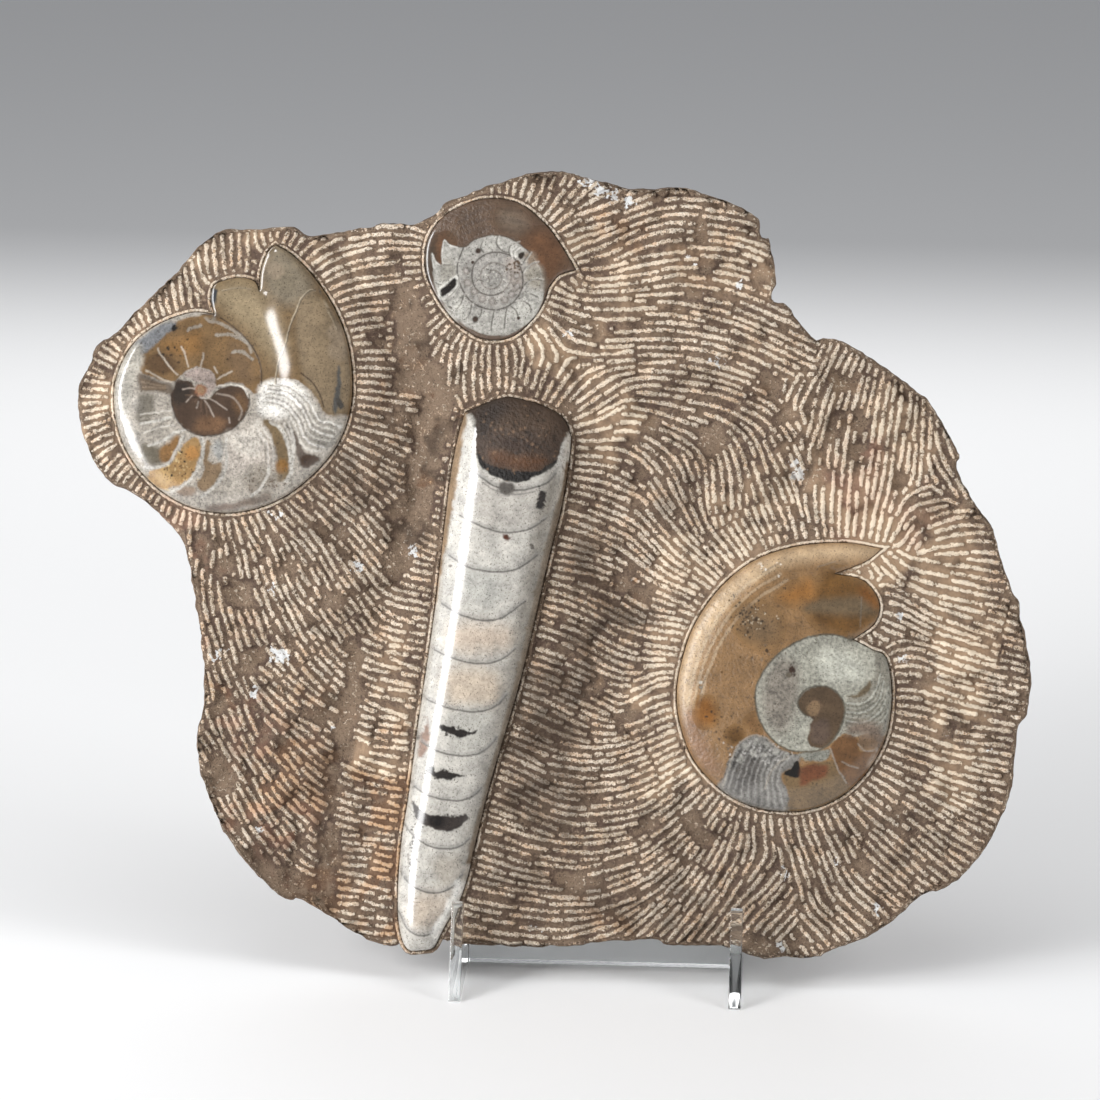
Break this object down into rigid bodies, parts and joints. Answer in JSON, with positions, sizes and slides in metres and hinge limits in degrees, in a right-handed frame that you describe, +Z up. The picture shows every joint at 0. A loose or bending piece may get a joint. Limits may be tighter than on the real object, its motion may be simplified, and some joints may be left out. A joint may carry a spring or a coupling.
{
  "type": "ammonite cluster plate",
  "caption": "Display slab of chiselled dark limestone with polished coiled ammonites and a straight orthoceras set in its face, leaning in a clear acrylic easel.",
  "frame": {"origin": "on the surface that the easel stands on, under the middle of the whole object's box", "axes": "+Z up, +X to the viewer's right along the slab's width, -Y towards the viewer; the slab leans back 15 degrees towards +Y"},
  "size_m": [0.387, 0.1435, 0.3151],
  "materials": {
    "limestone_matrix": "dark brown-grey limestone, scored all over with short pale chisel cuts",
    "ammonite_left_shell": "polished brown and grey calcite",
    "ammonite_top_shell": "polished grey calcite with a brown body chamber",
    "ammonite_right_shell": "polished tan and grey-green calcite",
    "orthoceras_shell": "polished pale grey calcite with dark chamber walls",
    "clear_acrylic": "clear polished acrylic sheet"
  },
  "bodies": {
    "root": {"matrix_slab": "limestone_matrix", "ammonite_left": "ammonite_left_shell", "ammonite_top": "ammonite_top_shell", "ammonite_right": "ammonite_right_shell", "orthoceras": "orthoceras_shell", "stand_side_left": "clear_acrylic", "stand_side_right": "clear_acrylic", "stand_cross_panel": "clear_acrylic"}
  },
  "joints": []
}
